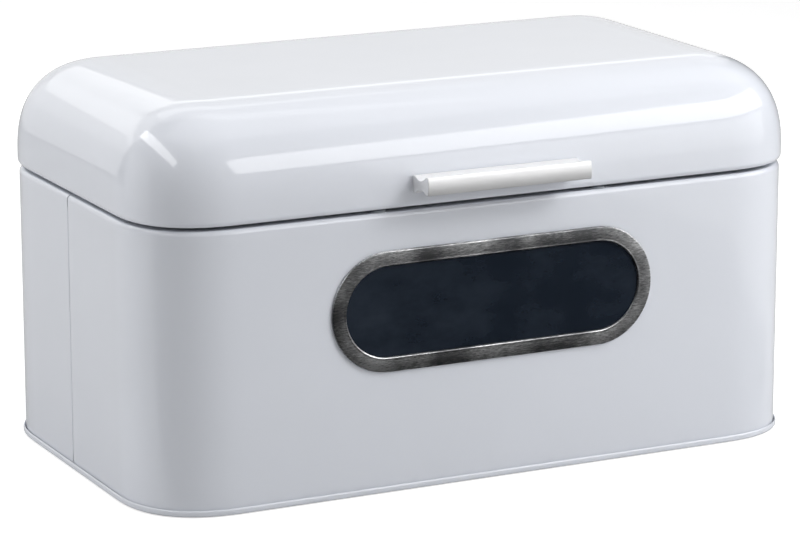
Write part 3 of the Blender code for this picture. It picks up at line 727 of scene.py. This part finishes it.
def handle(aluminium):
    """The section drawn out along X, with its sawn ends and long edges slightly broken."""
    half = HANDLE_LENGTH / 2
    bar = prism("handle", handle_section(), -half, half)
    out_and_up = Matrix(((0, 0, 1, 0), (-1, 0, 0, 0), (0, 1, 0, 0), (0, 0, 0, 1)))
    bake_place(bar, handle_place() @ Matrix.Translation((0, -FIT_GAP, 0)) @ out_and_up)
    bar = soften(bar, BAR_EDGE, 3, 30)
    return piece(bar, aluminium, "lid", "satin_aluminium", "handle_bar", smooth_angle=50)


def point_outward(x, inward):
    """The place of a piece made about +Z that points out of the handle's seat."""
    turn = Matrix.Rotation(math.radians(90), 4, "X")
    return handle_place() @ Matrix.Translation((x, inward, 0)) @ turn


def cross_cutter(place, reach, depth):
    """Two crossed wedges for a screw's recess."""
    tip = reach * 0.45
    half = reach * 0.28
    arms = []
    for turn in (0, 90):
        outline = [(-reach, -depth), (-tip, depth), (tip, depth), (reach, -depth)]
        arm = prism("recess_cutter", outline, -half, half)
        stand = Matrix.Rotation(math.radians(turn), 4, "Z") @ Matrix.Rotation(math.radians(90), 4, "X")
        arms.append(bake_place(arm, place @ stand))
    return arms


def handle_screws(steel):
    """Pan-head screws from inside the lid, each on a washer."""
    inside = SHEET + WASHER_THICKNESS + FIT_GAP
    for _, side in SIDES:
        node = "handle_screw_" + side
        low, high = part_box(node)
        x = (low.x + high.x) / 2
        head = SCREW_HEAD_RADIUS
        edge = SCREW_HEAD_EDGE
        back = -SCREW_HEAD_HEIGHT
        profile = [(0, inside), (SCREW_RADIUS, inside), (SCREW_RADIUS, 0), (head - edge, 0)]
        for step in range(9):
            angle = math.pi / 2 * step / 9
            across = head * math.cos(angle) ** SCREW_HEAD_FULLNESS
            profile.append((across, -edge + (back + edge) * math.sin(angle)))
        profile.append((0, back))
        place = point_outward(x, inside)
        screw = turned("screw_" + side, profile, place)
        recess = place @ Matrix.Translation((0, 0, back))
        cut(screw, *cross_cutter(recess, RECESS_REACH, RECESS_DEPTH))
        piece(screw, steel, "lid", "hinge_steel", node)


def handle_washers(steel):
    for _, side in SIDES:
        node = "handle_washer_" + side
        low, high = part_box(node)
        x = (low.x + high.x) / 2
        hole = SCREW_RADIUS + FIT_GAP / 2
        edge = WASHER_EDGE
        top = WASHER_THICKNESS
        profile = [(hole, 0), (hole, top), (WASHER_RADIUS - edge, top), (WASHER_RADIUS, top - edge)]
        profile += [(WASHER_RADIUS, edge), (WASHER_RADIUS - edge, 0), (hole, 0)]
        washer = turned("washer_" + side, profile, point_outward(x, SHEET + FIT_GAP / 2 + top))
        edit(washer, lambda bm: bmesh.ops.remove_doubles(bm, verts=bm.verts, dist=0.001 * MM))
        piece(face_outward(washer), steel, "lid", "hinge_steel", node)


# ---------------------------------------------------------------- hinges


def rivet_places(up):
    """(x, z) of the rivets of the lid's leaves (up = 1) or the body's (up = -1)."""
    places = []
    for side in (1, -1):
        for half in (-1, 1):
            places.append((side * HINGE_X + half * RIVET_X, AXIS_Z + up * RIVET_DROP))
    return places


def leaf_profile(up, wall_y):
    """The leaf's middle line as (y, z): its plate from the end to the bend, and its curled knuckle."""
    curl = KNUCKLE_RADIUS - LEAF_THICKNESS / 2
    near = wall_y + FIT_GAP + LEAF_THICKNESS / 2
    tangent = AXIS_Y - curl
    end_z = AXIS_Z + up * LEAF_HEIGHT
    bend_start = AXIS_Z + up * BEND_START
    bend_end = AXIS_Z + up * BEND_END
    plate = [(near, end_z), (near, (end_z + bend_start) / 2), (near, bend_start)]
    for step in range(1, 5):
        part = step / 5
        ease = part * part * (3 - 2 * part)
        plate.append((near + (tangent - near) * ease, bend_start + (bend_end - bend_start) * part))
    plate.append((tangent, bend_end))
    curled = arc((AXIS_Y, AXIS_Z), curl, 180, 180 + up * KNUCKLE_TURN, 22)
    return plate, curled


def hinge_leaf(name, x, up, wall_y):
    """A plate with curled knuckles: the lid's leaf (up = 1) has the middle one, the body's the others."""
    plate, curled = leaf_profile(up, wall_y)
    half = HINGE_WIDTH / 2
    middle = KNUCKLE_MIDDLE / 2
    gap = FIT_GAP / 2
    if up > 0:
        stations = (-half, -middle + gap, middle - gap, half)
        knuckles = (1,)
    else:
        stations = (-half, -middle - gap, middle + gap, half)
        knuckles = (0, 2)
    bm = bmesh.new()
    rows = [[bm.verts.new((x + station, y, z)) for station in stations] for y, z in plate + curled]
    for row in range(len(rows) - 1):
        spans = range(3) if row < len(plate) - 1 else knuckles
        for span in spans:
            near, far = rows[row], rows[row + 1]
            bm.faces.new((near[span], near[span + 1], far[span + 1], far[span]))
    loose = [vert for vert in bm.verts if not vert.link_faces]
    bmesh.ops.delete(bm, geom=loose, context="VERTS")
    leaf = thicken(face_outward(object_from(bm, name)), LEAF_THICKNESS)
    holes = []
    for hole_x in (x - RIVET_X, x + RIVET_X):
        hole_z = AXIS_Z + up * RIVET_DROP
        holes.append(through_back("rivet_cutter", RIVET_RADIUS, hole_x, hole_z, wall_y + FIT_GAP))
    return soften(cut(leaf, *holes), LEAF_EDGE, 2, 50)


def hinge_pin(name, x):
    """A pin with a domed head at each end."""
    half = HINGE_WIDTH / 2 + PIN_SLACK
    head = PIN_HEAD_RADIUS
    length = PIN_HIGH.x - PIN_LOW.x
    cap = length / 2 - half
    end = [(0, half + cap)]
    for step in range(1, 6):
        angle = math.pi / 2 * step / 5
        end.append((head * math.sin(angle), half + cap * (0.35 + 0.65 * math.cos(angle))))
    end += [(head, half), (PIN_RADIUS, half)]
    profile = end + [(radius, -height) for radius, height in reversed(end)]
    place = Matrix.Translation((x, AXIS_Y, AXIS_Z)) @ Matrix.Rotation(math.radians(90), 4, "Y")
    return turned(name, profile, place, 28)


def hinges(steel):
    for side, side_name in SIDES:
        x = -side * HINGE_X
        for up, owner, wall_y in ((-1, "body", BACK_HIGH.y), (1, "lid", LID_HIGH.y)):
            leaf = hinge_leaf(f"leaf_{owner}_{side_name}", x, up, wall_y)
            piece(leaf, steel, owner, "hinge_steel", f"hinge_{owner}_leaf_{side_name}")
        pin = hinge_pin("pin_" + side_name, x)
        piece(pin, steel, "body", "hinge_steel", "hinge_pin_" + side_name)


def rivets(steel, up, owner, wall_y):
    """Domed heads on the leaf, shanks through leaf and wall, pressed and dimpled tails inside."""
    head = RIVET_HEAD_RADIUS
    outside = FIT_GAP + LEAF_THICKNESS + RIVET_SEAT
    dome_foot = outside + RIVET_HEAD_EDGE
    dome_rise = RIVET_HEAD_RISE - RIVET_HEAD_EDGE
    inside = -SHEET - RIVET_TAIL_SEAT
    tail = RIVET_TAIL_RADIUS
    edge = RIVET_TAIL_EDGE
    end = inside - RIVET_TAIL_DEPTH
    profile = [(0, outside + RIVET_HEAD_RISE)]
    for step in range(1, 9):
        angle = math.pi / 2 * step / 8
        profile.append((head * math.sin(angle), dome_foot + dome_rise * math.cos(angle)))
    profile += [(head, outside), (RIVET_RADIUS, outside), (RIVET_RADIUS, inside), (tail, inside)]
    profile += [(tail, end + edge), (tail - edge, end), (DIMPLE_RADIUS, end)]
    profile += [(DIMPLE_RADIUS - edge, end + DIMPLE_DEPTH * 0.8), (0, end + DIMPLE_DEPTH)]
    for number, (x, z) in enumerate(sorted(rivet_places(up)), 1):
        place = Matrix.Translation((x, wall_y, z)) @ Matrix.Rotation(math.radians(-90), 4, "X")
        rivet = turned(f"rivet_{owner}_{number}", profile, place, 28)
        piece(rivet, steel, owner, "hinge_steel", f"{owner}_leaf_rivet_{number}")


# ---------------------------------------------------------------- materials


class Nodes:
    """A small hand for a material's node tree, whose shader starts as a plain Principled."""

    def __init__(self, name):
        self.material = bpy.data.materials.new(name)
        self.material.use_nodes = True
        self.tree = self.material.node_tree
        self.shader = self.tree.nodes["Principled BSDF"]
        self.place = self.add("ShaderNodeTexCoord").outputs["Object"]

    def add(self, kind, **settings):
        node = self.tree.nodes.new(kind)
        for name, value in settings.items():
            setattr(node, name, value)
        return node

    def join(self, source, target):
        self.tree.links.new(source, target)

    def stretched(self, scale):
        """The object's own coordinates, scaled by axis."""
        node = self.add("ShaderNodeMapping")
        node.inputs["Scale"].default_value = scale
        self.join(self.place, node.inputs["Vector"])
        return node.outputs["Vector"]

    def noise(self, scale, detail=2.0, roughness=0.5, place=None):
        node = self.add("ShaderNodeTexNoise")
        node.inputs["Scale"].default_value = scale
        node.inputs["Detail"].default_value = detail
        node.inputs["Roughness"].default_value = roughness
        self.join(place or self.place, node.inputs["Vector"])
        return node.outputs["Fac"]

    def ramp(self, value, stops):
        """Maps a value through (position, colour) stops; a grey may be a single number."""
        node = self.add("ShaderNodeValToRGB")
        elements = node.color_ramp.elements
        while len(elements) < len(stops):
            elements.new(1.0)
        for element, (position, colour) in zip(elements, stops):
            colour = colour if isinstance(colour, tuple) else (colour,) * 3
            element.position = position
            element.color = (*colour, 1.0)
        self.join(value, node.inputs["Fac"])
        return node.outputs["Color"]

    def remap(self, value, low, high):
        """Maps 0.25..0.75, the usual span of a noise, to low..high."""
        node = self.add("ShaderNodeMapRange")
        node.inputs["From Min"].default_value = 0.25
        node.inputs["From Max"].default_value = 0.75
        node.inputs["To Min"].default_value = low
        node.inputs["To Max"].default_value = high
        self.join(value, node.inputs["Value"])
        return node.outputs["Result"]

    def combine(self, operation, first, second):
        node = self.add("ShaderNodeMath", operation=operation)
        self.join(first, node.inputs[0])
        self.join(second, node.inputs[1])
        return node.outputs["Value"]

    def bump(self, height, distance, strength=1.0, normal=None):
        node = self.add("ShaderNodeBump")
        node.inputs["Distance"].default_value = distance
        node.inputs["Strength"].default_value = strength
        self.join(height, node.inputs["Height"])
        if normal:
            self.join(normal, node.inputs["Normal"])
        return node.outputs["Normal"]

    def set(self, **values):
        """Sets the shader's own sockets; underscores stand for spaces."""
        for name, value in values.items():
            self.shader.inputs[name.replace("_", " ")].default_value = value

    def feed(self, **sources):
        for name, source in sources.items():
            self.join(source, self.shader.inputs[name.replace("_", " ")])


def enamel():
    """Gloss white stove enamel: faint tone drift, orange peel and a very slow waviness of the sheet."""
    n = Nodes("white_enamel")
    tone = n.ramp(n.noise(9, 3), [(0.35, (0.787, 0.812, 0.871)), (0.65, (0.803, 0.828, 0.889))])
    peel = n.bump(n.noise(260, 1), 0.004 * MM)
    wave = n.noise(16, 1)
    surface = n.bump(wave, 0.22 * MM, normal=peel)
    n.feed(Base_Color=tone, Roughness=n.remap(n.noise(60, 3), 0.29, 0.36), Normal=surface)
    n.feed(Coat_Roughness=n.remap(n.noise(90, 3), 0.045, 0.06), Coat_Normal=n.bump(wave, 0.12 * MM))
    n.set(Specular_IOR_Level=0.12, Coat_Weight=1.0, Coat_IOR=1.5)
    return n.material


def tinplate():
    """Grey tinplate with worn patches, and flecks drawn out along the sheet's rolling direction, X."""
    n = Nodes("trim_tinplate")
    flecks = n.noise(1, 5, 0.75, n.stretched((240, 1500, 1500)))
    wear = n.combine("MULTIPLY", flecks, n.noise(30, 2))
    grain = n.noise(1, 3, 0.5, n.stretched((60, 2600, 2600)))
    dull = (0.18, 0.183, 0.19)
    plain = (0.5, 0.504, 0.512)
    bright = (0.97, 0.975, 0.98)
    tone = n.ramp(wear, [(0.17, dull), (0.25, plain), (0.34, bright)])
    rough = n.remap(n.noise(1, 3, 0.6, n.stretched((150, 600, 600))), 0.29, 0.38)
    surface = n.bump(grain, 0.03 * MM, 0.4)
    surface = n.bump(flecks, 0.02 * MM, 0.5, surface)
    n.feed(Base_Color=tone, Roughness=rough, Normal=surface)
    n.set(Metallic=1.0)
    return n.material


def smoked_acrylic_with_painted_shade():
    """Near-black blue pane, see-through only faintly: its dark tone is the pane's own smoky tint and also
    painted shade for the dark inside of the box, with haze and a tone that grows lighter towards the
    left.
    """
    n = Nodes("smoked_pane")
    haze = n.noise(26, 5, 0.62, n.stretched((1, 1, 1.6)))
    # A gradient along X makes the tone lighter towards the left; the haze noise is added to it.
    lighter_leftwards = n.add("ShaderNodeTexGradient")
    n.join(n.stretched((-2.2, 1, 1)), lighter_leftwards.inputs["Vector"])
    dust = n.combine("ADD", haze, lighter_leftwards.outputs["Fac"])
    # Painted shade: the near-black tone stands in for the dark inside of the box as well as the pane's
    # tint, and the nearly opaque pane hides the real inside.
    tone = n.ramp(dust, [(0.42, (0.0105, 0.0155, 0.0245)), (0.8, (0.026, 0.034, 0.048))])
    rough = n.remap(n.noise(40, 4, 0.6), 0.05, 0.14)
    n.feed(Base_Color=tone, Roughness=rough, Normal=n.bump(n.noise(14, 1), 0.2 * MM))
    n.set(Alpha=0.975, IOR=1.45)
    return n.material


def satin_aluminium():
    """Anodised extrusion: fine die lines along X and a soft sheen."""
    n = Nodes("satin_aluminium")
    lines = n.noise(1, 3, 0.6, n.stretched((3, 1800, 1800)))
    patches = n.noise(70, 3)
    tone = n.ramp(patches, [(0.3, (0.90, 0.90, 0.905)), (0.7, (0.94, 0.94, 0.945))])
    surface = n.bump(lines, 0.03 * MM, 0.7)
    surface = n.bump(n.noise(2200, 2), 0.012 * MM, 0.6, surface)
    n.feed(Base_Color=tone, Roughness=n.remap(lines, 0.36, 0.46), Normal=surface)
    n.set(Metallic=0.6)
    return n.material


def zinc_steel():
    """Zinc-plated steel: cloudy plating and light scratches."""
    n = Nodes("zinc_steel")
    clouds = n.noise(180, 4, 0.6)
    scratches = n.noise(1, 3, 0.7, n.stretched((1400, 300, 60)))
    tone = n.ramp(clouds, [(0.3, (0.50, 0.51, 0.52)), (0.7, (0.68, 0.68, 0.67))])
    surface = n.bump(scratches, 0.03 * MM, 0.5)
    n.feed(Base_Color=tone, Roughness=n.remap(clouds, 0.29, 0.4), Normal=surface)
    n.set(Metallic=1.0)
    return n.material


def rubber():
    """Matt black rubber with a fine pebble and some dust."""
    n = Nodes("pad_rubber")
    tone = n.ramp(n.noise(300, 4), [(0.35, 0.018), (0.75, 0.05)])
    rough = n.remap(n.noise(200, 3), 0.68, 0.88)
    n.feed(Base_Color=tone, Roughness=rough, Normal=n.bump(n.noise(1500, 2), 0.05 * MM))
    return n.material


def silicone():
    """Clear, slightly milky silicone."""
    n = Nodes("clear_silicone")
    tone = n.ramp(n.noise(400, 3), [(0.3, (0.50, 0.54, 0.58)), (0.7, (0.62, 0.65, 0.68))])
    rough = n.remap(n.noise(500, 2), 0.18, 0.26)
    n.feed(Base_Color=tone, Roughness=rough, Normal=n.bump(n.noise(900, 2), 0.02 * MM))
    n.set(Alpha=0.62, IOR=1.41)
    return n.material


# ---------------------------------------------------------------- studio

# Metres and radians. FLOOR_LIFT is what the floor gives off to the camera; the card lies on the floor.
LAMP_AIM = Vector((0, 0, 0.18))
FLOOR_LIFT = 0.7
CARD_LEFT = -1.5
CARD_RIGHT = 0.45
CARD_DEPTH = 2
CARD_GAP = 4 * MM
CARD_LOW = 0.5 * MM
CARD_HIGH = 1 * MM
CAMERA_YAW = 0.4601
CAMERA_PITCH = 0.2387
CAMERA_ROLL = -0.0014
CAMERA_PLACE = Vector((-0.9515, -1.9125, 0.6206))
CAMERA_LENS = 164.0


def floor_material():
    """Pale paper, lifted towards white for the camera alone; the lift doesn't light the object."""
    n = Nodes("studio_floor")
    tone = n.ramp(n.noise(3, 2), [(0.3, 0.59), (0.7, 0.61)])
    lift = n.add("ShaderNodeMath", operation="MULTIPLY")
    lift.inputs[1].default_value = FLOOR_LIFT
    n.join(n.add("ShaderNodeLightPath").outputs["Is Camera Ray"], lift.inputs[0])
    n.feed(Base_Color=tone, Emission_Strength=lift.outputs["Value"])
    n.set(Roughness=1.0, Specular_IOR_Level=0.0, Emission_Color=(1, 1, 1, 1))
    return n.material


def studio_floor():
    bm = bmesh.new()
    bmesh.ops.create_circle(bm, cap_ends=True, segments=96, radius=9)
    floor = object_from(bm, "studio_floor")
    floor.data.materials.append(floor_material())


def dark_card():
    """A dark card on the floor in front, which only mirror-like surfaces see."""
    n = Nodes("dark_card")
    n.set(Base_Color=(0.02, 0.02, 0.02, 1), Roughness=1.0, Specular_IOR_Level=0.0)
    near = FRONT_LOW.y - CARD_GAP
    far = near - CARD_DEPTH
    outline = [(CARD_LEFT, far), (CARD_RIGHT, far), (CARD_RIGHT, near), (CARD_LEFT, near)]
    card = prism("dark_card", outline, CARD_LOW, CARD_HIGH)
    card.data.materials.append(n.material)
    card.visible_camera = False
    card.visible_diffuse = False
    card.visible_shadow = False


def softbox(name, azimuth, elevation, distance, size, radiance, roll=0, only=None):
    """A soft rectangular lamp aimed at the object; azimuth 0 is straight in front, 90 is on the right.

    It lights everything, or only what a surface scatters ("diffuse") or mirrors ("glossy").
    """
    light = bpy.data.lights.new(name, "AREA")
    light.shape = "RECTANGLE"
    light.size, light.size_y = size
    light.energy = radiance * math.pi * size[0] * size[1]
    obj = bpy.data.objects.new(name, light)
    azimuth = math.radians(azimuth)
    elevation = math.radians(elevation)
    level = math.cos(elevation)
    way = Vector((math.sin(azimuth) * level, -math.cos(azimuth) * level, math.sin(elevation)))
    turn = way.to_track_quat("Z", "Y").to_matrix().to_4x4() @ Matrix.Rotation(math.radians(roll), 4, "Z")
    obj.matrix_world = Matrix.Translation(LAMP_AIM + way * distance) @ turn
    obj.visible_camera = False
    obj.visible_diffuse = only != "glossy"
    obj.visible_glossy = only != "diffuse"
    bpy.context.scene.collection.objects.link(obj)
    return obj


def world_light():
    world = bpy.data.worlds.new("studio")
    world.use_nodes = True
    background = world.node_tree.nodes["Background"]
    background.inputs["Color"].default_value = (0.96, 0.98, 1.0, 1)
    background.inputs["Strength"].default_value = 0.07
    bpy.context.scene.world = world


def lights():
    """A long key on the front right, a strip on the left, soft light from above and a dim back.

    A lamp for what is scattered and its sheen for what is mirrored stand a little apart, because
    two lamps in one place would hide each other's reflections.
    """
    softbox("key", 47, 28, 1.2, (1.5, 0.4), 2.5, only="diffuse")
    softbox("key_sheen", 47, 28, 1.15, (1.44, 0.385), 3.8, only="glossy")
    softbox("key_core", 42, 37, 1.5, (0.5, 0.35), 9.5, only="diffuse")
    softbox("key_high", 45, 58, 1.6, (1.4, 0.8), 1.0, only="diffuse")
    softbox("key_low", 45, 5, 1.6, (1.4, 0.6), 1.4, only="diffuse")
    softbox("low_sheen", 45, 5, 1.5, (1.3, 0.56), 1.3, only="glossy")
    softbox("left", -97, 41, 1.3, (2.2, 0.38), 1.5, roll=-2.5, only="diffuse")
    softbox("left_sheen", -98, 41, 1.2, (1.8, 0.21), 4.2, roll=-2.5, only="glossy")
    softbox("left_low", -110, 8, 2.0, (1.6, 1.0), 2.65, only="diffuse")
    softbox("left_low_sheen", -110, 8, 1.9, (1.5, 0.95), 0.44, only="glossy")
    softbox("left_back", -150, 25, 2.2, (1.6, 1.2), 0.24)
    softbox("top", 0, 88, 1.8, (2.0, 2.0), 1.31, only="diffuse")
    softbox("overhead_sheen", 140, 56, 1.6, (2.4, 0.8), 0.71, only="glossy")
    softbox("top_sheen", 20, 88, 1.7, (1.8, 1.6), 0.7, only="glossy")
    softbox("backdrop", 178, 10, 2.4, (3.6, 1.4), 0.7)
    softbox("backdrop_sheen", 175, 34, 2.3, (3.6, 1.1), 0.7, only="glossy")


def camera():
    data = bpy.data.cameras.new("camera")
    data.lens = CAMERA_LENS
    data.sensor_width = 36
    data.clip_start = 0.05
    data.clip_end = 60
    obj = bpy.data.objects.new("camera", data)
    level = math.cos(CAMERA_PITCH)
    ahead = Vector((math.sin(CAMERA_YAW) * level, math.cos(CAMERA_YAW) * level, -math.sin(CAMERA_PITCH)))
    right = Vector((math.cos(CAMERA_YAW), -math.sin(CAMERA_YAW), 0))
    up = right.cross(ahead)
    cos_roll = math.cos(CAMERA_ROLL)
    sin_roll = math.sin(CAMERA_ROLL)
    across = right * cos_roll + up * sin_roll
    upward = up * cos_roll - right * sin_roll
    turn = Matrix((across, upward, -ahead)).transposed().to_4x4()
    obj.matrix_world = Matrix.Translation(CAMERA_PLACE) @ turn
    bpy.context.scene.collection.objects.link(obj)
    bpy.context.scene.camera = obj


def studio():
    bpy.context.scene.view_settings.view_transform = "Standard"
    world_light()
    studio_floor()
    dark_card()
    lights()
    camera()


# ---------------------------------------------------------------- assembly


def build():
    paint = enamel()
    trim = tinplate()
    aluminium = satin_aluminium()
    steel = zinc_steel()
    front_wall(paint)
    back_wall(paint)
    seam_straps(paint)
    base_pan(paint)
    foot_pads(rubber())
    lid_buffers(silicone())
    window_frame(trim)
    window_pane(smoked_acrylic_with_painted_shade())
    window_retainer(trim)
    lid(paint)
    handle(aluminium)
    handle_screws(steel)
    handle_washers(steel)
    hinges(steel)
    rivets(steel, -1, "body", BACK_HIGH.y)
    rivets(steel, 1, "lid", LID_HIGH.y)


build()
studio()
